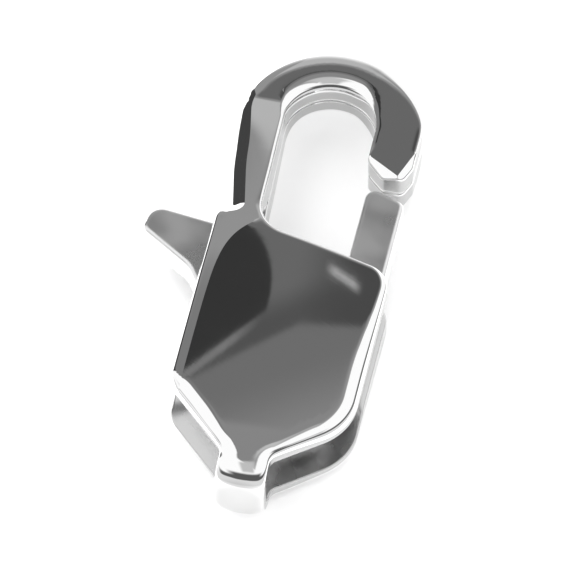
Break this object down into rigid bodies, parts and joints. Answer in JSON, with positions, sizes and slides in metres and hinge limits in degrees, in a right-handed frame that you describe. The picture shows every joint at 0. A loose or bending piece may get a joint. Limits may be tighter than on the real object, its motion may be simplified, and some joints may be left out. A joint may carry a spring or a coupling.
{
  "type": "lobster clasp",
  "caption": "Flat folded-sheet jewellery clasp: a hook closed by a sprung lever gate with a thumb piece, and a loop at the tail for a jump ring.",
  "frame": {"origin": "centre of the hook's arch, halfway through the clasp's thickness", "axes": "+Y towards the top of the hook, +X towards the gate, +Z out of the front plate; the clasp lies on its back plate, whose face is its lowest"},
  "size_m": [0.0072, 0.0152, 0.0026],
  "materials": {
    "body_steel": "mirror-polished stainless steel",
    "lever_steel": "mirror-polished stainless steel",
    "pin_steel": "plain turned stainless steel"
  },
  "bodies": {
    "frame": {"body": "body_steel", "pivot_pin": "pin_steel"},
    "lever": {"lever": "lever_steel"}
  },
  "joints": [
    {"name": "lever_pivot", "type": "hinge", "parent": "frame", "child": "lever", "pos_m": [0.0005, -0.0066, 0], "axis": [0, 0, 1], "range_deg": [0, 28], "stiffness_Nm_per_rad": 0.01}
  ]
}
